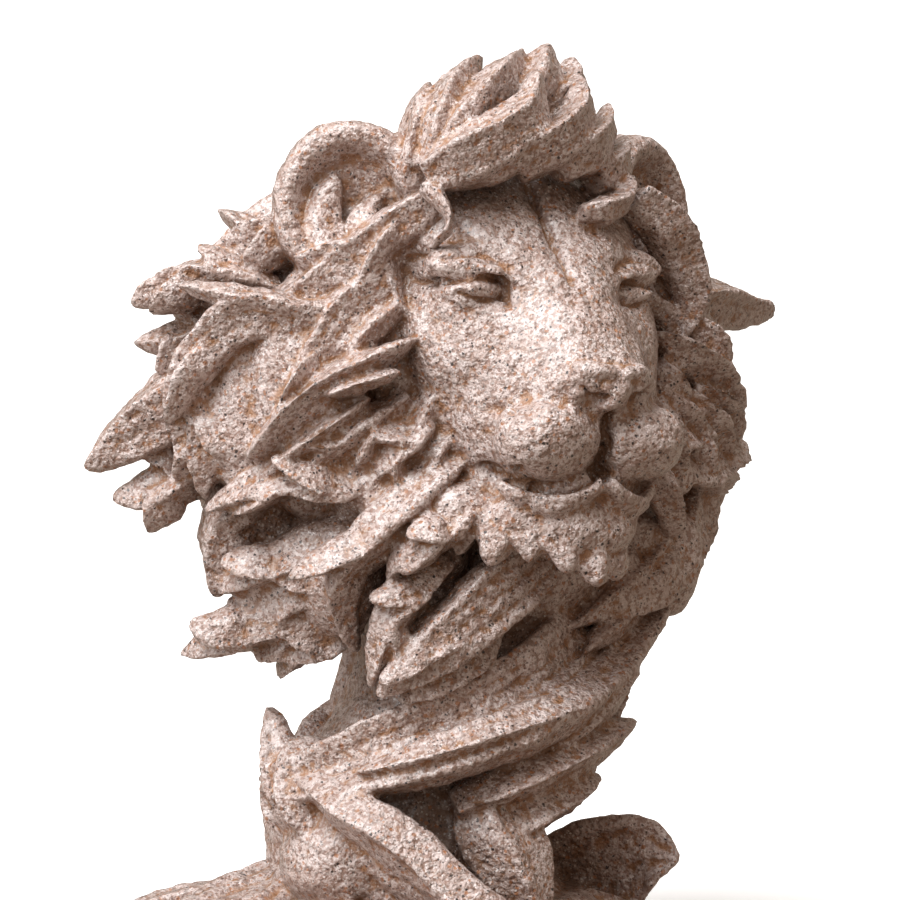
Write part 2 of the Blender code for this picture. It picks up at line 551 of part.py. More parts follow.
def sculpted(voxel, rub):
    """The whole casting, as one closed skin. The head is rubbed smoother than the hair."""
    clay = bmesh.new()
    head_forms(clay)
    head = fused(clay, voxel, HEAD_RUB)
    clay = bmesh.new()
    mane_back(clay)
    for side in (-1, 1):
        ear(clay, side)
    features(clay)
    crest(clay)
    mane_locks(clay)
    beard(clay)
    swirl(clay)
    base(clay)
    clay.from_mesh(head)
    mesh = fused(clay, voxel, rub)
    worked(mesh, depth=0.9, size=9)
    face_lines(mesh)
    return mesh


def stone():
    made = bpy.data.materials.new("sandstone resin")
    made.use_nodes = True
    made.node_tree.nodes["Principled BSDF"].inputs["Base Color"].default_value = (0.45, 0.33, 0.27, 1)
    return made


def cut_flat(mesh):
    """Cuts away what lies under the floor and closes the cut."""
    clay = bmesh.new()
    clay.from_mesh(mesh)
    everything = clay.verts[:] + clay.edges[:] + clay.faces[:]
    cut = bmesh.ops.bisect_plane(clay, geom=everything, plane_co=(0, 0, 0), plane_no=(0, 0, 1),
                                 clear_inner=True)
    rim = [edge for edge in cut["geom_cut"] if isinstance(edge, bmesh.types.BMEdge)]
    bmesh.ops.triangle_fill(clay, edges=rim, use_beauty=True)
    bmesh.ops.recalc_face_normals(clay, faces=clay.faces[:])
    clay.to_mesh(mesh)
    clay.free()


def thinned(mesh, triangles):
    """The mesh with no more than this many triangles, kept where the form bends most."""
    mesh.calc_loop_triangles()
    thing = object_of("thinned", mesh)
    decimate = thing.modifiers.new("thin", "DECIMATE")
    decimate.ratio = triangles / len(mesh.loop_triangles)
    made = settled(thing)
    bpy.data.objects.remove(thing)
    return made


def main():
    for thing in list(bpy.data.objects):
        bpy.data.objects.remove(thing)
    mesh = sculpted(VOXEL, RUB)
    mesh = thinned(mesh, TRIANGLES)
    cut_flat(mesh)
    mesh.materials.append(stone())
    return object_of("lion_statue", mesh)


if __name__ == "__main__":
    main()
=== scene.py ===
import math

import bmesh
import bpy
import numpy as np
from mathutils import Euler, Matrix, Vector, noise
from mathutils.bvhtree import BVHTree


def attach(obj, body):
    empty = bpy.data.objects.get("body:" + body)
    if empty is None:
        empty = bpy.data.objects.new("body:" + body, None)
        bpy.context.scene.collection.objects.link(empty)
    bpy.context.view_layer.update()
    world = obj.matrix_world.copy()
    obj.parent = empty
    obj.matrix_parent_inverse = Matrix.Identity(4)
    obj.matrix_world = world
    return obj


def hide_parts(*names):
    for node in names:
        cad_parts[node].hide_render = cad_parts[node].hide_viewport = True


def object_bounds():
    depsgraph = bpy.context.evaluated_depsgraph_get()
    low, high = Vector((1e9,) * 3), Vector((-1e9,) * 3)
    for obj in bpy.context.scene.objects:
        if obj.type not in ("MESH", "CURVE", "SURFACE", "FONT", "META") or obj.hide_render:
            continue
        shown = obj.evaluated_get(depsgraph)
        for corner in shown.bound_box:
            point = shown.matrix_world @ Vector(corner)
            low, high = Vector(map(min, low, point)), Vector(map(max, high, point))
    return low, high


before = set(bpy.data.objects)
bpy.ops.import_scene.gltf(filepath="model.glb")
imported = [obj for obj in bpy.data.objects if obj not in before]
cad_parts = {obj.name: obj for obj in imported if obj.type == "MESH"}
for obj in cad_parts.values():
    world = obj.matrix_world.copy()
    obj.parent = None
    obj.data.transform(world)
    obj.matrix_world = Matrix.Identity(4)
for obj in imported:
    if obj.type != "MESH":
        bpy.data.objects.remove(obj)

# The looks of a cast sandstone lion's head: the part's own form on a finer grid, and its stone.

CAD_BOX = [list(corner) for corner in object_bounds()]

# Driving sizes, in metres.
HEIGHT = 0.230  # flat underside to the top of the forelock
UNIT = HEIGHT / 230  # the figure's own measures, below, count in these
VOXEL = 0.0006  # grid of the fused clay
RUB = 2.2  # how far the hair is rubbed smooth, in square millimetres
HEAD_RUB = 12  # the same for the head, which is smoother
TRIANGLES = 190000  # faces kept on the finished casting
SLIVER = 0.00002  # edges shorter than this are closed up
HOLLOW_REACH = 0.0022  # how far round a point its skin is evened out, to tell hollows from ridges
HOLLOW_DEPTH = 0.0009  # a hollow this deep is a full one
SHELTER_REACH = 0.03  # stone nearer than this shuts out a point's open air

# The photograph: its width at the statue, where the eye line's middle lies in it, and its middle.
PHOTO_WIDTH = 0.225
PIXEL = PHOTO_WIDTH / 900
EYES_PIXEL = (501.5, 292)
MIDDLE_PIXEL = (450, 450)
VIEW_TURN = -30  # degrees round from the front, towards the lion's right
VIEW_RISE = 4
VIEW_DISTANCE = 1.6
SENSOR = 36  # the camera's own width, in millimetres

# The studio.
LIT_WAY = (-0.62, -0.42, 0.66)  # towards the light; the side turned away from it gets painted shade, darker and warmer
FLOOR_FRONT = 3  # how far the floor comes out to the front
FLOOR_BACK = 1.2  # where it starts to curve up
FLOOR_CURVE = 0.8  # the curve's radius
WALL_TOP = 3.5
FLOOR_HALF_WIDTH = 4

# The figure, in units of a 230th of its height.
EYES = Vector((14, -12, 166))  # between the ears, level with the eyes
HEAD_CORE = EYES + Vector((0, 34, -18))  # locks turn their crests away from here
EDGE = 1.3  # half the thickness of a lock along its edges
EYE_SHIFT = -1.1  # the eyes sit a little to the lion's right of the nose
NECK_AXIS = ((0, (-3, 1)), (42, (-4, 3)), (78, (10, 2)), (110, (13, 4)))


def head_point(across, ahead, up):
    """A point from the eye line: across to the lion's left, ahead of the ears, and up."""
    return EYES + Vector((across, -ahead, up))


def face_point(across, ahead, up):
    """A point of the face, which tilts a little: the lion's right side is the higher."""
    return head_point(across, ahead, up - 0.05 * across)


def neck_point(turn, radius, up):
    """A point round the neck. The turn is in degrees from the front, towards the lion's left."""
    level = [z for z, _ in NECK_AXIS]
    x = np.interp(up, level, [p[0] for _, p in NECK_AXIS])
    y = np.interp(up, level, [p[1] for _, p in NECK_AXIS])
    angle = math.radians(turn)
    return Vector((x + radius * math.sin(angle), y - radius * math.cos(angle), up))


def smooth_path(points, steps):
    """Points spread evenly along a smooth curve through the given ones."""
    ends = [2 * points[0] - points[1], *points, 2 * points[-1] - points[-2]]
    fine = []
    for before, start, end, after in zip(ends, ends[1:], ends[2:], ends[3:]):
        for i in range(12):
            t = i / 12
            fine.append(0.5 * (2 * start + (end - before) * t
                               + (2 * before - 5 * start + 4 * end - after) * t ** 2
                               + (3 * start - before - 3 * end + after) * t ** 3))
    fine.append(points[-1])
    lengths = np.cumsum([0] + [(b - a).length for a, b in zip(fine, fine[1:])])
    wanted = np.linspace(0, lengths[-1], steps)
    axes = [np.interp(wanted, lengths, [p[i] for p in fine]) for i in range(3)]
    return [Vector(p) for p in zip(*axes)]


def loft(clay, rings):
    """Joins rings of points into one closed skin."""
    made = [[clay.verts.new(p * UNIT) for p in ring] for ring in rings]
    count = len(made[0])
    for ring, following in zip(made, made[1:]):
        for i in range(count):
            j = (i + 1) % count
            clay.faces.new((ring[i], ring[j], following[j], following[i]))
    clay.faces.new(reversed(made[0]))
    clay.faces.new(made[-1])


def ball(clay, centre, radii, turn=(0, 0, 0)):
    """An ellipsoid, turned by degrees about X, Y and Z."""
    spin = Euler([math.radians(angle) for angle in turn]).to_matrix()
    rings = []
    for a in np.linspace(0.04, 0.96, 16) * math.pi:
        level = [Vector((math.sin(a) * math.cos(b), math.sin(a) * math.sin(b), -math.cos(a)))
                 for b in np.linspace(0, 2 * math.pi, 28, endpoint=False)]
        rings.append([centre + spin @ Vector([r * c for r, c in zip(radii, point)]) for point in level])
    loft(clay, rings)


def bar(clay, points, radii, steps=10):
    """A round bar along a smooth curve, with a ball at each end."""
    path = smooth_path([Vector(p) for p in points], steps)
    girth = np.interp(np.linspace(0, 1, steps), np.linspace(0, 1, len(radii)), radii)
    rings = []
    for i, centre in enumerate(path):
        along = (path[min(i + 1, steps - 1)] - path[max(i - 1, 0)]).normalized()
        side = along.orthogonal().normalized()
        top = along.cross(side)
        rings.append([centre + (side * math.cos(a) + top * math.sin(a)) * girth[i]
                      for a in np.linspace(0, 2 * math.pi, 16, endpoint=False)])
    loft(clay, rings)
    for end in (0, -1):
        ball(clay, path[end], [girth[end]] * 3)


def lock(clay, points, width, height, lean=0.0, sharp=1.3, root=0.6, hollow=0.0, strands=2.5, blunt=2.6,
         core=HEAD_CORE):
    """A lock of hair: a leaf along a smooth curve, with a crest on its outer side and a pointed end.

    lean moves the crest towards one edge, sharp hollows the flanks beside it, and hollow
    sinks the middle. strands are the grooves along it, and blunt keeps it wide to its end.
    """
    steps = max(14, int(sum((b - a).length for a, b in zip(points, points[1:])) / 2))
    across = 16
    path = smooth_path(points, steps)
    rings = []
    for i, centre in enumerate(path):
        t = i / (steps - 1)
        along = (path[min(i + 1, steps - 1)] - path[max(i - 1, 0)]).normalized()
        out = centre - core
        out = (out - along * out.dot(along)).normalized()
        side = along.cross(out)
        swell = min(1, root + (1 - root) * t / 0.3) * max(0.02, 1 - t ** blunt) ** 0.75
        half, tall, rim = width / 2 * swell, height * swell ** 0.8, EDGE * max(0.55, swell)
        ring = []
        for j in range(across + 1):
            u = 2 * j / across - 1
            near = (u - lean) / (1 - lean) if u > lean else (lean - u) / (1 + lean)
            rise = tall * (1 - near) ** sharp - hollow * tall * max(0, 1 - (u / 0.75) ** 2)
            groove = (1 - abs(math.sin(math.pi * strands * (u + 0.12 * math.sin(5 * t))))) ** 1.5
            rise -= min(0.12 * width, 0.3 * height) * swell * (1 - u * u) * groove
            ring.append(centre + side * u * half + out * (rise + rim))
        for j in range(across + 1):
            u = 1 - 2 * j / across
            ring.append(centre + side * u * half - out * (tall * 0.6 * (1 - u ** 6) + rim))
        rings.append(ring)
    loft(clay, rings)


def tuft(clay, points, width, height, lean=0.0):
    """A lock of hair, with two smaller ones that part from its edges if it is neither narrow nor broad."""
    lock(clay, points, width, height, lean=lean)
    if not 10 < width < 18:
        return
    length = sum((b - a).length for a, b in zip(points, points[1:]))
    path = smooth_path(points, 9)
    first = 1 if math.sin(points[0].x + 2 * points[0].z) > 0 else -1
    for place, edge in ((2, first), (4, -first)):
        start = path[place]
        along = (path[place + 1] - path[place - 1]).normalized()
        out = start - HEAD_CORE
        out = (out - along * out.dot(along)).normalized()
        side = along.cross(out) * edge * width
        reach = along * length * 0.34
        spine = [start + side * 0.1, start + side * 0.36 + reach * 0.5 + out * height * 0.25,
                 start + side * 0.62 + reach + out * height * 0.1]
        lock(clay, spine, width * 0.5, height * 0.75, strands=1.5)


def ear(clay, side):
    """A round ear with a deep bowl and a thick rim. side is -1 for the lion's right and 1 for the left."""
    centre = face_point(side * 43, 0, 20)
    facing = Vector((side * math.sin(math.radians(30)), -math.cos(math.radians(30)), 0.1)).normalized()
    level = Vector((0, 0, 1)).cross(facing).normalized()
    upward = facing.cross(level)

    def at(wide, tall, rise):
        return centre + level * wide + upward * tall + facing * rise

    rings = []
    profile = ((0.03, -5.5), (0.36, -5), (0.58, -3.5), (0.68, -0.5), (0.78, 2), (0.91, 2.6), (1.02, 0.5),
               (1.06, -4), (1.02, -9), (0.85, -15), (0.5, -20), (0.03, -22))
    for share, rise in profile:
        rings.append([at(18.5 * share * math.cos(a), 20.5 * share * math.sin(a), rise)
                      for a in np.linspace(0, 2 * math.pi, 32, endpoint=False)])
    loft(clay, rings)
    behind = centre - facing * 40
    for foot, middle, tip, top, width in ((-5, -8, -4, 8, 13), (4, 3, 8, 4, 10)):
        spine = [at(-side * foot, -15, 0), at(-side * middle, -5, -2), at(-side * tip, top, -4)]
        lock(clay, spine, width, 4, strands=1, core=behind)


def face_form(clay):
    """The skull and face, through level outlines of the lion's left half, each copied to its right."""
    outlines = (
        # up, then (across, ahead) from the middle to the side
        (36, (0, 5), (9, 4), (17, 1), (24, -6), (29, -16)),
        (28, (0, 16), (10, 15), (20, 11), (28, 2), (33, -12)),
        (20, (0, 24), (10, 24), (20, 20), (29, 10), (34, -8)),
        (11, (0, 33), (9, 32), (19, 28), (29, 17), (35, -5)),
        (4, (0, 40), (9, 37), (17, 31), (28, 22), (35, -3)),
        (-1, (0, 44), (9, 40), (15, 33), (29, 23), (36, 0)),
        (-7, (0, 48.5), (9.5, 44.5), (16, 37), (30, 24.5), (37, 0)),
        (-13, (0, 53), (10, 49), (17, 40), (31, 24), (37, 0)),
        (-19, (0, 56), (10, 53), (17, 43), (31, 22), (36, -2)),
        (-26, (0, 52), (12, 50), (20, 42), (30, 20), (35, -4)),
        (-36, (0, 48), (12, 48), (21, 40), (28, 18), (33, -6)),
        (-45, (0, 46), (10, 45), (18, 37), (25, 17), (30, -8)),
        (-53, (0, 46), (8, 44), (14, 36), (21, 17), (27, -10)),
        (-60, (0, 34), (7, 32), (12, 25), (18, 11), (24, -12)),
        (-67, (0, 20), (6, 19), (11, 15), (16, 5), (20, -14)),
    )
    around = []
    for up, *half in outlines:
        left = [face_point(x, f, up) for x, f in half]
        right = [face_point(-x, f, up) for x, f in half]
        back = [face_point(half[-1][0] * 0.8, -32, up), face_point(-half[-1][0] * 0.8, -32, up)]
        around.append(smooth_path(right[:0:-1] + left + back[:1], 40) + back[1:])
    columns = [smooth_path(list(column), 44) for column in zip(*around)]
    loft(clay, [list(ring) for ring in zip(*columns)])


def head_forms(clay):
    """The skull, the face and the mass under the chin."""
    def put(across, ahead, up, radii, turn=(0, 0, 0)):
        ball(clay, face_point(across, ahead, up), radii, turn)

    face_form(clay)
    put(0, -6, 8, (31, 32, 30))
    put(0, -7, -62, (34, 28, 33))
    for side in (-1, 1):
        # Brow, eye and muzzle pad.
        put(side * 24.5 - 0.8, 22, 7.6, (9, 7.2, 4.6), (0, side * 6, 0))
        put(side * 22.3 + EYE_SHIFT, 24.6, 1.4, (7, 6.8, 5.2))
        put(side * 12.3 - 0.5, 43.5, -33.6, (13.6, 11.8, 10.8))
        # The lip under the pad.
        lip = ((21, 35, -46), (14, 42.5, -49.3), (7, 47.5, -47.8), (2, 49, -44.5))
        bar(clay, [face_point(side * x, f, z) for x, f, z in lip], (2.4, 3.1, 3.4, 3), steps=14)
        put(side * 7.5, 50, -21, (5, 6.5, 4.6))
    put(0, 51, -22, (6, 7.5, 6))
    put(0, 40, -56, (14, 9.5, 9))
    put(-13, 32, -55, (11, 9, 7.5))
    put(-24, 24, -53, (11, 8, 7))


def features(clay):
    """The eyelids and the wings of the nose, laid on the finished head."""
    lids = (
        # (across, ahead, up) from the outer to the inner corner, then the radii there
        (((31.5, 18.6, 4), (27.8, 24.2, 5.6), (22.3, 29, 6), (18.3, 31.4, 5.4), (15.3, 32.8, 3.4)),
         (0.9, 1.5, 1.8, 1.5, 0.8)),
        (((29.8, 20.2, 0), (25.8, 25.2, -2.6), (21.3, 28.2, -3.2), (16.8, 30.8, -1.8)),
         (0.7, 1.1, 1.1, 0.7)),
    )
    for side in (-1, 1):
        for edge, radii in lids:
            bar(clay, [face_point(side * x + EYE_SHIFT, f, z) for x, f, z in edge], radii, steps=14)
        wing = ((2.5, 56.5, -17.5), (7, 54.5, -17), (10.8, 51.5, -18.5), (12.4, 49, -22), (10.5, 49.5, -25.5))
        bar(clay, [face_point(side * x, f, z) for x, f, z in wing], (1.4, 2, 2.2, 1.9, 1.2), steps=14)


def mane_locks(clay):
    """The locks of the mane: pairs, then the ones of each side alone."""
    pairs = (
        # spine of (across, ahead, up) on the lion's right, width, height, lean
        (((-37, 8, 6), (-46, 5, -2), (-51, 3, -10), (-55, 0, -19), (-60, -3, -28), (-63, -8, -36)),
         13, 7, 0.2),
        (((-35, 10, -2), (-42, 9, -7), (-47, 6, -15), (-50, 5, -24)), 9, 5, -0.2),
        (((-66, -6, -40), (-59, 2, -29), (-52, 8, -21), (-43, 14, -15), (-34, 17, -10)), 12, 11, -0.3),
        (((-63, -3, -43), (-57, 4, -36), (-51, 10, -30), (-45, 14, -24)), 9, 9, -0.2),
        (((-34, 13, -25), (-46, 10, -33), (-54, 6, -39), (-62, -1, -44)), 11, 7, 0.3),
        (((-40, 8, -42), (-50, 7, -45), (-58, 2, -44), (-66, -5, -46), (-76, -16, -53)), 12, 9, -0.2),
        (((-31, 15, -31), (-38, 15, -37), (-46, 11, -46)), 12, 8, -0.2),
        (((-28, 16, -22), (-33, 16, -32), (-36, 16, -41)), 8, 5, 0),
        (((-26, 18, -34), (-34, 17, -44), (-41, 13, -51)), 10, 5, 0),
        (((-48, -12, 14), (-57, -19, 13), (-67, -29, 10)), 15, 9, 0.1),
        (((-62, -20, -20), (-75, -27, -26), (-84, -33, -33), (-96, -40, -43)), 21, 10, 0.2),
        (((-64, -26, -40), (-79, -33, -48), (-90, -38, -51)), 15, 9, -0.3),
        (((-36, 8, 10), (-35, 9, 0), (-31, 14, -8)), 5, 4, 0),
    )
    near = (
        (((-26, 15, 24), (-34, 9, 18), (-43, 5, 11), (-51, 0, 5), (-60, -4, -1)), 12, 7, 0.2),
        (((-48, 2, -4), (-56, -1, -5), (-65, -6, -4), (-74, -13, -10), (-79, -19, -24), (-79, -21, -42)),
         13, 8, 0.4),
        (((-72, -17, -22), (-74, -18, -36), (-74, -18, -51)), 12, 7, 0),
        (((-58, -7, -12), (-66, -12, -22), (-68, -14, -36), (-68, -14, -48)), 22, 4, 0),
        (((-56, -14, 0), (-71, -24, 3), (-80, -30, 1), (-86, -34, -3)), 14, 9, 0.3),
        (((-60, -22, -7), (-73, -29, -11), (-85, -35, -12)), 13, 8, -0.3),
        (((-56, -12, -46), (-66, -21, -58), (-68, -24, -75)), 20, 9, 0),
        (((-44, 4, -55), (-50, 0, -60), (-58, -6, -65), (-70, -20, -74)), 13, 9, 0.2),
        (((-42, 2, -64), (-50, -2, -69), (-59, -11, -75), (-67, -20, -76)), 13, 8, -0.2),
        (((-42, -4, -74), (-57, -13, -80), (-65, -22, -85), (-75, -31, -90)), 16, 9, 0.2),
        (((-40, -2, -80), (-50, -10, -85), (-60, -22, -87)), 13, 9, 0),
        # Under the chin.
        (((-20, 15, -38), (-33, 19, -47), (-45, 17, -58), (-51, 12, -67), (-50, 9, -77), (-46, 8, -87)),
         15, 9, 0.3),
        (((-18, 20, -45), (-30, 25, -55), (-43, 26, -67)), 12, 8, 0.2),
        (((-28, 20, -64), (-41, 19, -76), (-45, 17, -88), (-46, 15, -95)), 12, 7, 0),
        (((2, 24, -60), (-16, 25, -72), (-32, 24, -85), (-46, 19, -97)), 19, 9, -0.5),
        (((-22, 20, -74), (-34, 24, -84), (-47, 22, -94)), 9, 7, 0),
        (((-14, 18, -80), (-26, 22, -90), (-41, 20, -99)), 9, 7, 0),
    )
    far = (
        (((27, 18, 24), (36, 16, 17), (43, 14, 8), (47, 13, -3), (44, 13, -13)), 10, 8, 0),
        (((50, 0, -14), (59, -6, -16), (65, -12, -26), (69, -17, -42), (74, -19, -62)), 13, 8, 0.3),
        (((60, -8, -24), (68, -12, -38), (72, -14, -58)), 18, 6, 0),
        (((52, -10, -4), (70, -20, -5), (87, -28, -7), (104, -37, -10)), 16, 9, 0),
        (((36, 16, -18), (42, 14, -24), (46, 10, -30)), 9, 5, 0),
        (((34, 18, -28), (40, 16, -37), (44, 10, -46)), 10, 5, 0),
        (((28, 24, -42), (36, 21, -52), (41, 14, -62)), 10, 6, 0),
        (((50, 0, -44), (60, -4, -56), (62, -6, -70)), 18, 7, 0),
        (((60, -4, -49), (50, 5, -63), (34, 15, -75), (16, 17, -80)), 12, 8, -0.4),
    )
    for spine, width, height, lean in pairs:
        for side in (-1, 1):
            tuft(clay, [head_point(-side * x, f, z) for x, f, z in spine], width, height, lean=-side * lean)
    for spine, width, height, lean in near:
        tuft(clay, [head_point(*p) for p in spine], width, height, lean=lean)
    for spine, width, height, lean in far:
        lock(clay, [head_point(*p) for p in spine], width, height, lean=lean)


def beard(clay):
    """The beard under the lower lip, and the fringe that runs back from it along the jaw."""
    hairs = (
        # root (across, ahead, up), tip, width
        ((-6, 33, -56), (-8, 46, -67), 15),
        ((0, 34, -57), (0, 47, -70), 15),
        ((7, 31, -57), (7, 44, -68.5), 14),
        ((-12, 28, -54), (-16, 41, -65), 14),
        ((-17, 24, -52), (-24, 36, -66), 13),
        ((-23, 18, -50), (-31, 31, -61), 10),
        ((-28, 13, -49), (-38, 27, -64), 12),
        ((-34, 9, -47), (-46, 21, -60), 10),
    )
    for root, tip, width in hairs:
        start, end = face_point(*root), face_point(*tip)
        middle = (start + end) / 2 + Vector((0, -3, 1))
        lock(clay, [start, middle, end], width, 5, strands=1.5, blunt=3.5)


def crest(clay):
    ball(clay, head_point(-29, 6, 30), (5.5, 5.5, 6))
    locks = (
        # spine of (across, ahead, up), width, height, lean
        (((-31, 7, 28), (-27, 5, 38), (-23, 1, 46), (-19, -3, 52)), 12, 8, 0),
        (((-29, 12, 31), (-24, 10, 41), (-17, 6, 51), (-7, 2, 58)), 14, 9, 0.2),
        (((-26, 12, 32), (-20, 14, 41), (-10, 13, 51), (2, 7, 60)), 14, 9, 0.2),
        (((-6, 12, 38), (2, 12, 50), (9, 8, 62)), 17, 9, 0),
        (((6, 10, 42), (14, 9, 50), (17, 4, 58)), 14, 8, 0),
        (((-32, 18, 30), (-24, 24, 35), (-14, 27, 41), (-7, 26, 48), (-3, 22, 55)), 16, 9, 0.1),
        (((-26, 21, 29), (-16, 26, 33), (-6, 28, 39), (-2, 25, 48)), 8, 6, 0),
        (((-10, 24, 31), (0, 26, 38), (8, 23, 45), (12, 18, 54)), 13, 9, 0),
        (((2, 25, 31), (12, 22, 36), (19, 17, 41), (23, 12, 47)), 12, 8, 0),
        (((14, 21, 28), (23, 16, 32), (29, 10, 39)), 11, 7, 0),
        (((14, 6, 28), (21, -2, 40), (22, -10, 49)), 15, 9, 0),
        (((-12, 0, 30), (-6, -8, 46), (0, -16, 54)), 18, 9, 0),
        # The small curls at the temples.
        (((-34, 19, 27), (-31, 23, 24), (-30, 26, 18), (-33, 21, 12)), 4, 4, 0),
        (((6, 28, 21), (13, 28, 21), (20, 25, 23), (25, 21, 29)), 7, 5, 0),
    )
    for spine, width, height, lean in locks:
        lock(clay, [head_point(*p) for p in spine], width, height, lean=lean)


def swirl(clay):
    """The neck, and the bands of mane that wind round it."""
    rings = []
    for up, girth in ((-4, 50), (6, 46), (14, 39), (22, 34), (34, 33), (48, 31), (57, 26), (66, 24), (76, 26),
                      (86, 29), (100, 34)):
        rings.append([neck_point(a, girth, up) for a in range(0, 360, 12)])
    loft(clay, rings)
    ball(clay, Vector((14, -8, 70)), (24, 24, 22))
    ball(clay, neck_point(95, 30, 54), (16, 18, 14))
    ball(clay, neck_point(-62, 28, 27), (18, 18, 16))
    ball(clay, neck_point(-78, 33, 42), (10, 10, 15))
    ball(clay, neck_point(-76, 33, 25), (8, 8, 10))
    bands = (
        # spine of (turn, radius, up), width, height, lean, hollow
        (((84, 52, 110), (76, 50, 99), (64, 43, 89), (47, 37, 81), (28, 37, 75), (8, 40, 69), (-14, 42, 62),
          (-36, 43, 56), (-58, 43, 50), (-78, 43, 46), (-96, 42, 46)), 27, 9, -0.7, 0.5),
        (((76, 53, 103), (64, 47, 93), (46, 41, 84), (26, 38, 77)), 9, 6, 0, 0),
        (((70, 53, 111), (60, 48, 101), (44, 41, 91), (24, 34, 83)), 9, 5, 0, 0),
        (((30, 42, 70), (8, 45, 64), (-16, 47, 59), (-34, 47, 54), (-50, 46, 50)), 9, 6, -0.3, 0),
        (((-12, 36, 40), (6, 40, 45), (24, 43, 50), (38, 46, 54), (50, 51, 59)), 14, 9, -0.4, 0),
        (((0, 37, 33), (14, 40, 37), (28, 43, 41), (42, 48, 46)), 13, 8, -0.3, 0),
        (((16, 41, 53), (26, 42, 60), (36, 44, 66), (46, 48, 72)), 12, 7, 0, 0),
        (((58, 36, 40), (54, 38, 50), (56, 41, 60), (61, 45, 70)), 12, 7, 0, 0),
        (((-4, 34, 46), (2, 39, 36), (6, 44, 26), (9, 49, 12)), 22, 7, 0.1, 0),
        (((-72, 36, 41), (-58, 40, 35), (-42, 42, 28), (-27, 45, 19), (-10, 53, 10), (8, 62, 3)),
         34, 8, -0.75, 0.3),
        # The rough tuft at the end of the first band.
        (((-76, 38, 35), (-84, 39, 44), (-90, 42, 53), (-96, 46, 63)), 10, 6, 0.2, 0),
        (((-66, 41, 34), (-73, 42, 42), (-78, 42, 49), (-81, 41, 56)), 9, 5, 0, 0),
        (((-86, 36, 52), (-89, 38, 44), (-87, 38, 37), (-80, 38, 30)), 10, 5, 0, 0),
        (((112, 36, 66), (88, 38, 66), (66, 42, 68)), 14, 7, 0, 0),
        (((112, 36, 57), (88, 40, 58), (64, 46, 60)), 12, 7, 0, 0),
        (((110, 36, 48), (80, 37, 48), (50, 41, 51)), 12, 6, 0, 0),
    )
    for spine, width, height, lean, hollow in bands:
        lock(clay, [neck_point(*p) for p in spine], width, height, lean=lean, hollow=hollow,
             strands=max(1.5, width / 6), blunt=4, core=neck_point(0, 0, 50))
    # Behind, the same bands carry on more plainly.
    for start, girth in ((110, 29), (150, 29), (190, 26)):
        spine = [neck_point(start + 20 * i, girth + 2 * i, 62 - 11 * i) for i in range(5)]
        lock(clay, spine, 22, 9, lean=0.4, core=neck_point(0, 0, 50))


def mane_back(clay):
    """The plainer back of the mane: the body under it all, and tiers of locks from crown to nape."""
    wide, deep, tall = 66, 35, 59
    ahead, level = -30, -24
    ball(clay, head_point(0, ahead, level), (wide, deep, tall))
    for side in (-1, 1):
        ball(clay, head_point(side * 44, -7, -24), (24, 14, 34))
        ball(clay, head_point(side * 35, 4, -27), (8, 9, 24))
        ball(clay, head_point(side * 62, -15, -32), (13, 10, 20))
        ball(clay, head_point(side * 44, -22, -62), (20, 14, 18))
        ball(clay, head_point(side * 46, 0, -68), (11, 13, 16))
        ball(clay, head_point(side * 42, 4, -50), (8, 7, 8))
        ball(clay, head_point(side * 60, -15, -14), (12, 8, 12))
        ball(clay, head_point(side * 43, 9, -47), (7, 7, 7))
    ball(clay, head_point(-27, 13, -63), (9, 9, 9))
    ball(clay, head_point(27, 8, -70), (9, 8, 9))
    ball(clay, head_point(35, 5, -60), (12, 9, 11))

    def shell(turn, up, share):
        share *= math.sqrt(max(0.06, 1 - ((up - level) / tall) ** 2))
        return head_point(wide * share * math.sin(turn), ahead - deep * share * math.cos(turn), up)

    for tier, (first, last) in enumerate(((-26, -80), (0, -50), (22, -22))):
        for step in range(-4, 5):
            stray = math.sin(7.3 * step + 2.1 * tier)
            turn = 19 * step + 9 * (tier % 2) + 4 * stray
            lift = (0.32 + 0.1 * stray) * math.cos(math.radians(turn))
            spine = [shell(math.radians(turn + (5 + 2 * stray) * i), up, 0.92 + lift * i * i / 9)
                     for i, up in enumerate(np.linspace(first, last - 4 * stray, 4))]
            lock(clay, spine, 24 + 3 * stray, 11, lean=0.4 * stray, strands=3)
    for step in range(-3, 4):
        turn = math.radians(21 * step + 6 * math.sin(5 * step))
        parting = head_point(16 * math.sin(turn), 2 - 10 * math.cos(turn), 33)
        spine = [parting, shell(turn, 30, 1), shell(turn, 15, 1.02), shell(turn + 0.06, -4, 1.03)]
        lock(clay, spine, 20, 6, lean=0.3, strands=2)
    for side in (-1, 1):
        for across, up in ((47, 12), (54, -5), (57, -22), (53, -40), (45, -58)):
            spine = [head_point(side * across, -16, up), head_point(side * (across + 7), -32, up - 8),
                     head_point(side * (across + 4), -46, up - 20)]
            lock(clay, spine, 20, 8, lean=0.2 * side, strands=2)
    for turn in range(110, 260, 24):
        spine = [neck_point(turn, 24, 96), neck_point(turn - 12, 24, 78), neck_point(turn - 34, 27, 56)]
        lock(clay, spine, 15, 5, strands=1, core=neck_point(0, 0, 76))


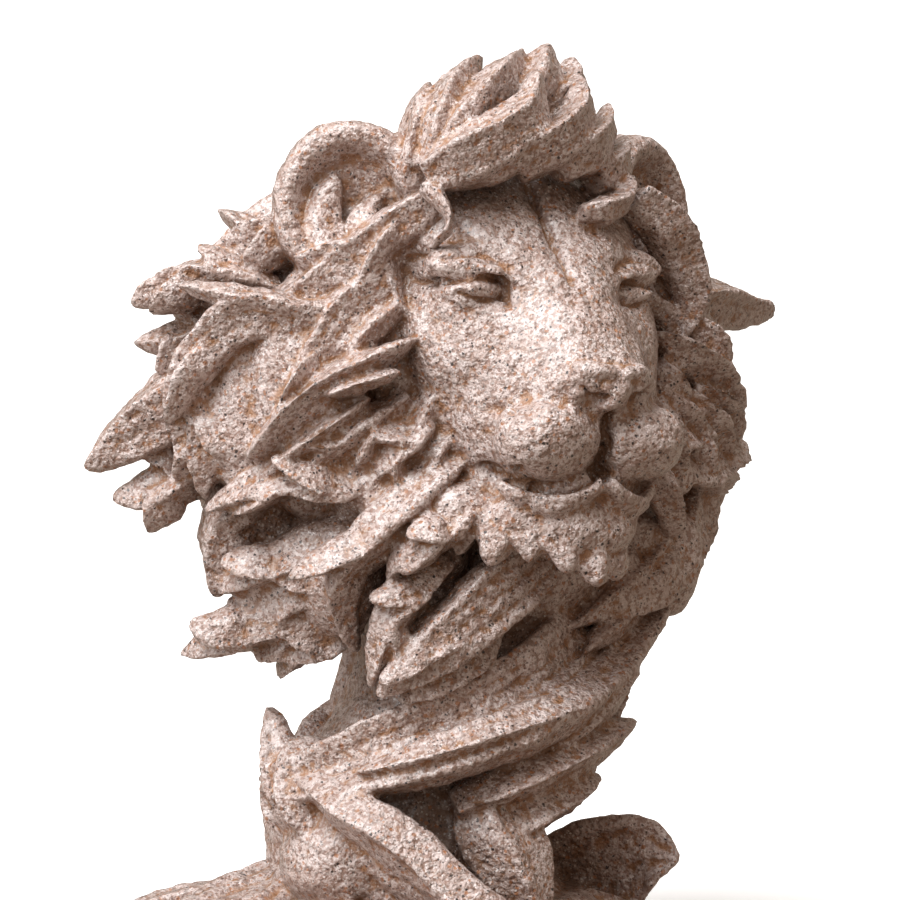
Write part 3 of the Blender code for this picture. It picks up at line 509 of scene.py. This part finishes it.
def base(clay):
    rings = []
    for up, girth in ((-4, 62), (3, 63), (7, 59), (11, 52), (16, 42)):
        rings.append([neck_point(a, girth, up) for a in range(0, 360, 12)])
    loft(clay, rings)
    for turn in range(-170, 190, 36):
        reach = 74 + 6 * math.cos(math.radians(turn + 120))
        drop = 4 - 4 * math.cos(math.radians(turn + 120))
        spine = (neck_point(turn - 34, 28, 20 - drop), neck_point(turn - 20, 46, 11 - drop / 2),
                 neck_point(turn - 6, 62, 8 - drop / 2), neck_point(turn + 6, reach, 6))
        lock(clay, spine, 30, 7.5, core=neck_point(0, 0, -60))
    # One lock stands up at the lion's left, hollow towards the front.
    spine = (neck_point(84, 24, 5), neck_point(74, 42, 16), neck_point(66, 57, 23), neck_point(62, 67, 23))
    lock(clay, spine, 28, 6, hollow=1.2, blunt=5, strands=1.5, core=neck_point(150, 140, 0))


def object_of(name, mesh):
    made = bpy.data.objects.new(name, mesh)
    bpy.context.scene.collection.objects.link(made)
    return made


def settled(thing):
    """The thing's mesh with its modifiers applied."""
    graph = bpy.context.evaluated_depsgraph_get()
    return bpy.data.meshes.new_from_object(thing.evaluated_get(graph))


def fused(clay, voxel, rub):
    """One closed skin round all the clay, with its seams rubbed smooth. rub is in square millimetres."""
    mesh = bpy.data.meshes.new("clay")
    clay.to_mesh(mesh)
    clay.free()
    thing = object_of("clay", mesh)
    remesh = thing.modifiers.new("fuse", "REMESH")
    remesh.mode = "VOXEL"
    remesh.voxel_size = voxel
    remesh.use_smooth_shade = True
    smooth = thing.modifiers.new("rub", "SMOOTH")
    smooth.factor = 0.5
    smooth.iterations = max(1, round(rub / (voxel * 1000) ** 2))
    made = settled(thing)
    bpy.data.objects.remove(thing)
    return made


def carve(points, normals, path, width, depth):
    """Sinks the face by depth under a line drawn on its front view, or lifts it if depth is negative."""
    line = [Vector((x, 0, z)) for x, z in path]
    line = np.array([(p.x, p.z) for p in smooth_path(line, 20)]) * UNIT
    front = np.stack([points[:, 0], points[:, 2]], 1)
    reach = width * UNIT * 2.5
    close = np.all((front > line.min(0) - reach) & (front < line.max(0) + reach), axis=1)
    close &= (points[:, 1] < (EYES.y - 8) * UNIT) & (normals[:, 1] < 0.1)
    index = np.nonzero(close)[0]
    near = front[index]
    least = np.full(len(near), 1e9)
    for a, b in zip(line, line[1:]):
        along = b - a
        share = np.clip((near - a) @ along / (along @ along), 0, 1)
        least = np.minimum(least, np.linalg.norm(near - a - share[:, None] * along, axis=1))
    fall = depth * UNIT * np.exp(-(least / (width * UNIT)) ** 2)
    points[index] -= normals[index] * fall[:, None]


def face_lines(mesh):
    """The eyelids, nostrils, mouth and the grooves of the brow."""
    count = len(mesh.vertices)
    points = np.empty(count * 3)
    normals = np.empty(count * 3)
    mesh.vertices.foreach_get("co", points)
    mesh.vertices.foreach_get("normal", normals)
    points, normals = points.reshape(-1, 3), normals.reshape(-1, 3)

    def cut(width, depth, *path):
        seen = [face_point(x, 0, z) for x, z in path]
        carve(points, normals, [(p.x, p.z) for p in seen], width, depth)

    cut(4.5, 1.2, (-2.3, 26), (-2.3, 14), (-2.3, 6))
    cut(1.0, 2, (-2.3, 26), (-2.3, 14), (-2.6, 4))
    cut(1.1, 4, (0, -28), (0, -34), (0, -44))
    eye_lines = (
        # width, depth, then (across, up): the eye under its lids, the fold over them, the inner corner
        (0.8, 2.2, (29.8, 2.4), (25.8, 3.6), (21.8, 4), (17.8, 3.4)),
        (0.7, 1.8, (27.8, 0), (23.8, -1.4), (19.8, -1.4), (17.3, 0)),
        (0.9, 1.2, (30.8, 8), (25.8, 9.6), (19.8, 9.4), (14.8, 7)),
        (0.9, 2, (17.2, 4), (16.2, 1.5), (16.6, -2)),
    )
    for side in (-1, 1):
        for width, depth, *path in eye_lines:
            cut(width, depth, *[(side * x + EYE_SHIFT, z) for x, z in path])
        # The nostril, the mouth and the folds round the muzzle.
        cut(1.3, 3.6, (side * 4.5, -24), (side * 7.5, -23.5), (side * 9.8, -21.5))
        mouth = ((2, -41.5), (7, -45), (13, -46.3), (18, -45.2), (22.5, -42))
        cut(0.9, 3, *[(side * x, z) for x, z in mouth])
        cut(1.6, 1.6, (side * 13, -25), (side * 18, -24), (side * 22.5, -27.5))
    mesh.vertices.foreach_set("co", points.ravel())
    mesh.update()


def worked(mesh, depth, size):
    """Lifts and sinks the skin a little, unevenly, as hand modelling does."""
    for vertex, normal in zip(mesh.vertices, [v.normal.copy() for v in mesh.vertices]):
        here = vertex.co / (size * UNIT)
        uneven = noise.noise(here) + 0.45 * noise.noise(here * 2.6) + 0.25 * noise.noise(here * 6)
        vertex.co += normal * (depth * UNIT * uneven)
    mesh.update()


def sculpted(voxel, rub):
    """The whole casting, as one closed skin. The head is rubbed smoother than the hair."""
    clay = bmesh.new()
    head_forms(clay)
    head = fused(clay, voxel, HEAD_RUB)
    clay = bmesh.new()
    mane_back(clay)
    for side in (-1, 1):
        ear(clay, side)
    features(clay)
    crest(clay)
    mane_locks(clay)
    beard(clay)
    swirl(clay)
    base(clay)
    clay.from_mesh(head)
    mesh = fused(clay, voxel, rub)
    worked(mesh, depth=0.9, size=9)
    face_lines(mesh)
    return mesh


def cut_flat(mesh):
    """Cuts away what lies under the floor and closes the cut."""
    clay = bmesh.new()
    clay.from_mesh(mesh)
    everything = clay.verts[:] + clay.edges[:] + clay.faces[:]
    cut = bmesh.ops.bisect_plane(clay, geom=everything, plane_co=(0, 0, 0), plane_no=(0, 0, 1),
                                 clear_inner=True)
    rim = [edge for edge in cut["geom_cut"] if isinstance(edge, bmesh.types.BMEdge)]
    bmesh.ops.triangle_fill(clay, edges=rim, use_beauty=True)
    bmesh.ops.recalc_face_normals(clay, faces=clay.faces[:])
    clay.to_mesh(mesh)
    clay.free()


def thinned(mesh, triangles):
    """The mesh with no more than this many triangles, kept where the form bends most."""
    mesh.calc_loop_triangles()
    thing = object_of("thinned", mesh)
    decimate = thing.modifiers.new("thin", "DECIMATE")
    decimate.ratio = triangles / len(mesh.loop_triangles)
    made = settled(thing)
    bpy.data.objects.remove(thing)
    return made


def arrays(mesh):
    """The mesh's points, normals and edges as arrays."""
    count = len(mesh.vertices)
    points = np.empty(count * 3)
    normals = np.empty(count * 3)
    edges = np.empty(len(mesh.edges) * 2, dtype=np.int32)
    mesh.vertices.foreach_get("co", points)
    mesh.vertices.foreach_get("normal", normals)
    mesh.edges.foreach_get("vertices", edges)
    return points.reshape(-1, 3), normals.reshape(-1, 3), edges.reshape(-1, 2)


def beside_mean(values, edges):
    """For each point, the mean of the values at the points that an edge joins to it."""
    ends = edges.ravel()
    others = edges[:, ::-1].ravel()
    return np.bincount(ends, values[others], len(values)) / np.bincount(ends, minlength=len(values))


def hollows(mesh, name, reach, full):
    """Stores how far each point lies below the skin round it.

    It goes from 0 on ridges to 1 in hollows of depth full.
    """
    points, normals, edges = arrays(mesh)
    spacing = np.linalg.norm(points[edges[:, 0]] - points[edges[:, 1]], axis=1).mean()
    even = points.copy()
    for _ in range(max(2, int((reach / spacing) ** 2))):
        even = 0.5 * even + 0.5 * np.stack([beside_mean(even[:, i], edges) for i in range(3)], 1)
    depth = ((even - points) * normals).sum(1) / full
    stored = mesh.attributes.new(name, "FLOAT", "POINT")
    stored.data.foreach_set("value", np.clip(0.5 + 0.5 * depth, 0, 1).astype(np.float32))


def shelter(mesh, name, reach):
    """Stores how much of the open air round each point the casting itself shuts out, from 0 to 1."""
    points, normals, edges = arrays(mesh)
    tree = BVHTree.FromPolygons([v.co for v in mesh.vertices], [p.vertices for p in mesh.polygons])
    count = 30
    rise = 1 - 2 * (np.arange(count) + 0.5) / count
    turn = np.arange(count) * math.pi * (3 - math.sqrt(5))
    ways = np.stack([np.sqrt(1 - rise ** 2) * np.cos(turn), np.sqrt(1 - rise ** 2) * np.sin(turn), rise], 1)
    facing = normals @ ways.T
    rays = [Vector(way) for way in ways]
    shut = np.zeros(len(points))
    for i, (point, normal) in enumerate(zip(points, normals)):
        start = Vector(point + normal * 0.0004)
        seen = np.nonzero(facing[i] > 0.15)[0]
        hits = sum(facing[i, j] for j in seen if tree.ray_cast(start, rays[j], reach)[0] is not None)
        shut[i] = hits / facing[i, seen].sum()
    for _ in range(3):
        shut = 0.4 * shut + 0.6 * beside_mean(shut, edges)
    stored = mesh.attributes.new(name, "FLOAT", "POINT")
    stored.data.foreach_set("value", shut.astype(np.float32))


class Number:
    """A number on a shader tree: sums on it in Python add Math nodes to the tree."""

    def __init__(self, tree, socket):
        self.tree = tree
        self.socket = socket

    def sum(self, how, *others):
        node = add(self.tree, "ShaderNodeMath", {"operation": how}, [self, *others])
        return Number(self.tree, node.outputs[0])

    def __add__(self, other):
        return self.sum("ADD", other)

    def __mul__(self, other):
        return self.sum("MULTIPLY", other)

    def __sub__(self, other):
        return self.sum("SUBTRACT", other)

    def __rsub__(self, other):
        return self.sum("MULTIPLY", -1).sum("ADD", other)

    def ramp(self, low, high):
        """0 at low and under, 1 at high and over, even between them. low may be the larger."""
        node = add(self.tree, "ShaderNodeMapRange", {"interpolation_type": "SMOOTHSTEP"},
                   [self, low, high, 0, 1])
        return Number(self.tree, node.outputs[0])

    __radd__ = __add__
    __rmul__ = __mul__


def add(tree, kind, settings, values):
    """One node of the given kind, with its settings made first.

    values go to its sockets in order, or by name or number where they are given as a dict.
    """
    node = tree.nodes.new(kind)
    for name, value in settings.items():
        setattr(node, name, value)
    for key, value in values.items() if isinstance(values, dict) else enumerate(values):
        if isinstance(value, Number):
            tree.links.new(value.socket, node.inputs[key])
        elif isinstance(value, bpy.types.NodeSocket):
            tree.links.new(value, node.inputs[key])
        else:
            node.inputs[key].default_value = value
    return node


def blended(tree, share, under, over):
    """A colour between two others. The numbers are the Mix node's sockets for colours."""
    node = add(tree, "ShaderNodeMix", {"data_type": "RGBA"}, {0: share, 6: under, 7: over})
    return node.outputs[2]


def grains(tree, place, size, seed):
    """Grains of about this size in metres: a random number for each, and how near its middle a point is."""
    moved = add(tree, "ShaderNodeVectorMath", {"operation": "ADD"}, [place, (seed, 2 * seed, 3 * seed)])
    cells = add(tree, "ShaderNodeTexVoronoi", {"feature": "F1"},
                {"Vector": moved.outputs[0], "Scale": 1 / size})
    split = add(tree, "ShaderNodeSeparateColor", {}, [cells.outputs["Color"]])
    near = Number(tree, cells.outputs["Distance"])
    return Number(tree, split.outputs[0]), Number(tree, split.outputs[1]), near


def cloud(tree, place, size, detail):
    """Soft uneven patches of about this size in metres, as a number that is mostly near a half."""
    node = add(tree, "ShaderNodeTexNoise", {}, {"Vector": place, "Scale": 1 / size, "Detail": detail})
    return Number(tree, node.outputs[0])


def ragged(tree, place, size, reach):
    """The place, shifted unevenly by up to reach, so that grains get uneven edges."""
    uneven = add(tree, "ShaderNodeTexNoise", {}, {"Vector": place, "Scale": 1 / size})
    shift = add(tree, "ShaderNodeVectorMath", {"operation": "SUBTRACT"},
                [uneven.outputs[1], (0.5, 0.5, 0.5)])
    return add(tree, "ShaderNodeVectorMath", {"operation": "MULTIPLY_ADD"},
               [shift.outputs[0], (reach, reach, reach), place]).outputs[0]


def sandstone():
    """Pinkish sandstone resin: sandy paste with dark, rust and white grains (the white partly painted
    glints); painted shade and brown wax in hollows.
    """
    made = bpy.data.materials.new("sandstone")
    made.use_nodes = True
    tree = made.node_tree
    shader = tree.nodes["Principled BSDF"]
    place = add(tree, "ShaderNodeTexCoord", {}, {}).outputs["Object"]
    hollow = Number(tree, add(tree, "ShaderNodeAttribute", {"attribute_name": "hollow"}, {}).outputs["Fac"])
    shut = Number(tree, add(tree, "ShaderNodeAttribute", {"attribute_name": "shelter"}, {}).outputs["Fac"])
    facing_out = add(tree, "ShaderNodeNewGeometry", {}, {}).outputs["Normal"]
    lit = Number(tree, add(tree, "ShaderNodeVectorMath", {"operation": "DOT_PRODUCT"},
                           [facing_out, LIT_WAY]).outputs["Value"])
    patches = cloud(tree, place, 0.006, 2)
    sand = cloud(tree, place, 0.0012, 2)
    dust = cloud(tree, place, 0.0005, 2)
    ripple = cloud(tree, place, 0.0026, 2)
    rough_place = ragged(tree, place, 0.0006, 0.0007)

    pale = blended(tree, patches.ramp(0.35, 0.65), (0.56, 0.43, 0.39, 1), (0.71, 0.59, 0.56, 1))
    colour = blended(tree, sand.ramp(0.55, 0.40) * 0.85, pale, (0.31, 0.18, 0.135, 1))
    colour = blended(tree, dust.ramp(0.46, 0.3) * 0.45, colour, (0.22, 0.14, 0.11, 1))
    # Painted shade: what faces away from the window is painted darker and a warm brown.
    colour = blended(tree, lit.ramp(0.0, -0.8) * 0.3, colour, (0.34, 0.20, 0.13, 1))
    # Hollows are painted a warm brown: partly a brown wax, partly painted shade.
    colour = blended(tree, hollow.ramp(0.51, 0.64) * 0.85, colour, (0.34, 0.15, 0.055, 1))
    # Painted shade: where the casting shuts out the open air, the colour is painted dark brown.
    colour = blended(tree, shut.ramp(0.25, 0.75) * 0.7, colour, (0.16, 0.085, 0.05, 1))
    # Ridges, away from any hollow, are made a little paler.
    colour = blended(tree, hollow.ramp(0.45, 0.25) * 0.3, colour, (0.68, 0.56, 0.51, 1))

    bump = sand * 0.8 + dust * 0.4 + ripple * 2.4
    layers = (
        # size, seed, share of grains, their radius, colour, how much they cover
        (0.0009, 3.1, 0.07, 0.42, (0.03, 0.02, 0.018, 1), 0.95),
        (0.0012, 7.7, 0.12, 0.45, (0.40, 0.15, 0.05, 1), 0.75),
        # White grains, in this row and the one two rows on: pale grains that also serve as painted glints.
        (0.0008, 5.3, 0.14, 0.45, (0.78, 0.70, 0.67, 1), 0.55),
        (0.0006, 9.2, 0.12, 0.45, (0.08, 0.05, 0.04, 1), 0.75),
        (0.0006, 1.9, 0.14, 0.45, (0.84, 0.78, 0.75, 1), 0.6),
    )
    gloss = None
    open_air = 1 - hollow.ramp(0.5, 0.66) * 0.5
    for size, seed, share, radius, tint, cover in layers:
        kind, swell, near = grains(tree, rough_place, size, seed)
        spot = kind.ramp(share + 0.01, share - 0.01) * (near - swell * 0.15).ramp(radius, radius - 0.2)
        colour = blended(tree, spot * cover * open_air, colour, tint)
        if tint[0] > 0.5:
            gloss = spot if gloss is None else gloss + spot
    tree.links.new(colour, shader.inputs["Base Color"])
    rough = 0.36 - sand.ramp(0.3, 0.7) * 0.1 - gloss * 0.14 + shut.ramp(0.4, 0.9) * 0.15
    tree.links.new(rough.socket, shader.inputs["Roughness"])
    raised = add(tree, "ShaderNodeBump", {}, {"Strength": 0.9, "Distance": 0.0009, "Height": bump})
    tree.links.new(raised.outputs[0], shader.inputs["Normal"])
    shader.inputs["Coat Weight"].default_value = 0.6
    shader.inputs["Coat Roughness"].default_value = 0.15
    return made


def drawn_in(mesh, box):
    """Draws the few points that stand out of the solid's box back into it."""
    points, _, _ = arrays(mesh)
    mesh.vertices.foreach_set("co", np.clip(points, *box).ravel())
    mesh.update()


def islands(clay):
    """The mesh's points, in sets that its edges join."""
    left = set(clay.verts)
    found = []
    while left:
        start = left.pop()
        grown, front = {start}, [start]
        while front:
            for edge in front.pop().link_edges:
                for vert in edge.verts:
                    if vert in left:
                        left.remove(vert)
                        grown.add(vert)
                        front.append(vert)
        found.append(grown)
    return found


def cleaned(mesh):
    """Takes out slivers, and the few specks of skin that aren't joined to the casting."""
    clay = bmesh.new()
    clay.from_mesh(mesh)
    bmesh.ops.dissolve_degenerate(clay, dist=SLIVER, edges=clay.edges[:])
    bmesh.ops.triangulate(clay, faces=clay.faces[:])
    pieces = sorted(islands(clay), key=len)
    specks = [vert for piece in pieces[:-1] for vert in piece]
    bmesh.ops.delete(clay, geom=specks, context="VERTS")
    clay.to_mesh(mesh)
    clay.free()


def statue():
    """The casting, which takes the place of the solid."""
    mesh = thinned(sculpted(VOXEL, RUB), TRIANGLES)
    cut_flat(mesh)
    drawn_in(mesh, CAD_BOX)
    cleaned(mesh)
    mesh.shade_smooth()
    # The stone's colour takes painted shade from these two measures.
    hollows(mesh, "hollow", HOLLOW_REACH, HOLLOW_DEPTH)
    shelter(mesh, "shelter", SHELTER_REACH)
    mesh.materials.append(sandstone())
    piece = object_of("lion_casting", mesh)
    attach(piece, "root")
    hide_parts("lion_statue")


def paper():
    """Pale studio paper, which is brighter where it rises behind."""
    made = bpy.data.materials.new("pale paper")
    made.use_nodes = True
    tree = made.node_tree
    shader = tree.nodes["Principled BSDF"]
    place = add(tree, "ShaderNodeTexCoord", {}, {}).outputs["Object"]
    far = Number(tree, add(tree, "ShaderNodeVectorMath", {"operation": "LENGTH"}, [place]).outputs["Value"])
    glow = blended(tree, far.ramp(0.08, 0.3), (0.5, 0.5, 0.5, 1), (0.95, 0.95, 0.95, 1))
    tree.links.new(glow, shader.inputs["Emission Color"])
    shader.inputs["Emission Strength"].default_value = 1
    shader.inputs["Base Color"].default_value = (0.8, 0.8, 0.8, 1)
    shader.inputs["Roughness"].default_value = 0.8
    return made


def stage():
    """A pale floor that curves up into a wall behind."""
    clay = bmesh.new()
    away = Vector((-math.sin(math.radians(VIEW_TURN)), math.cos(math.radians(VIEW_TURN)), 0))
    aside = Vector((away.y, -away.x, 0))
    outline = [(-FLOOR_FRONT, 0), (FLOOR_BACK, 0)]
    for angle in np.linspace(0.1, math.pi / 2, 14):
        outline.append((FLOOR_BACK + FLOOR_CURVE * math.sin(angle), FLOOR_CURVE * (1 - math.cos(angle))))
    outline.append((FLOOR_BACK + FLOOR_CURVE, WALL_TOP))
    rows = []
    for far, up in outline:
        middle = away * far + Vector((0, 0, up))
        rows.append([clay.verts.new(middle + aside * s) for s in (-FLOOR_HALF_WIDTH, FLOOR_HALF_WIDTH)])
    for (a, b), (c, d) in zip(rows, rows[1:]):
        clay.faces.new((a, b, d, c))
    mesh = bpy.data.meshes.new("floor")
    clay.to_mesh(mesh)
    clay.free()
    mesh.shade_smooth()
    mesh.materials.append(paper())
    floor = object_of("floor", mesh)
    # The white paper throws no light back on the statue, whose far side is dark in the photograph.
    floor.visible_diffuse = False
    floor.visible_glossy = False


def facing(thing, target):
    """Turns a lamp or camera to look at the target."""
    thing.rotation_mode = "QUATERNION"
    thing.rotation_quaternion = (target - thing.location).to_track_quat("-Z", "Y")


def around(turn, rise, distance):
    """A point round the statue's middle: the turn is in degrees from the front, towards the lion's left."""
    turn, rise = math.radians(turn), math.radians(rise)
    level = Vector((math.sin(turn), -math.cos(turn), 0)) * math.cos(rise)
    return Vector((0, 0, HEIGHT / 2)) + (level + Vector((0, 0, math.sin(rise)))) * distance


def lamp(name, turn, rise, distance, size, watts):
    """A round soft lamp round the statue, aimed at the middle of the mane."""
    made = bpy.data.lights.new(name, "AREA")
    made.color = (0.95, 0.98, 1)
    made.shape = "DISK"
    made.size = size
    made.energy = watts
    lit = object_of(name, made)
    lit.location = around(turn, rise, distance)
    facing(lit, Vector((0, 0, HEIGHT * 0.6)))


def lights():
    """Soft daylight from the left and above, and a weak warm light from all round for the shadows."""
    world = bpy.data.worlds.new("studio")
    world.use_nodes = True
    world.node_tree.nodes["Background"].inputs["Color"].default_value = (1, 0.79, 0.62, 1)
    world.node_tree.nodes["Background"].inputs["Strength"].default_value = 0.3
    bpy.context.scene.world = world
    lamp("key", VIEW_TURN - 48, 47, 1.5, 1.0, 12)
    lamp("window", VIEW_TURN - 65, 12, 1.8, 1.6, 15)
    lamp("front", VIEW_TURN - 22, 50, 1.7, 1.0, 10)
    lamp("top", VIEW_TURN - 40, 72, 1.3, 1.0, 12)
    lamp("fill", VIEW_TURN - 10, 20, 2.0, 0.8, 1.5)
    bpy.context.scene.view_settings.view_transform = "Standard"


def camera():
    """The photograph's view: the eye line's middle falls on its own pixel."""
    made = bpy.data.cameras.new("camera")
    seen = object_of("camera", made)
    turn, rise = math.radians(VIEW_TURN), math.radians(VIEW_RISE)
    right = Vector((math.cos(turn), math.sin(turn), 0))
    across, down = [(m - e) * PIXEL for m, e in zip(MIDDLE_PIXEL, EYES_PIXEL)]
    target = EYES * UNIT + right * across - Vector((0, 0, down))
    back = Vector((math.sin(turn) * math.cos(rise), -math.cos(turn) * math.cos(rise), math.sin(rise)))
    seen.location = target + back * VIEW_DISTANCE
    facing(seen, target)
    made.sensor_width = SENSOR
    made.lens = SENSOR * VIEW_DISTANCE / PHOTO_WIDTH
    bpy.context.scene.camera = seen


statue()
stage()
lights()
camera()
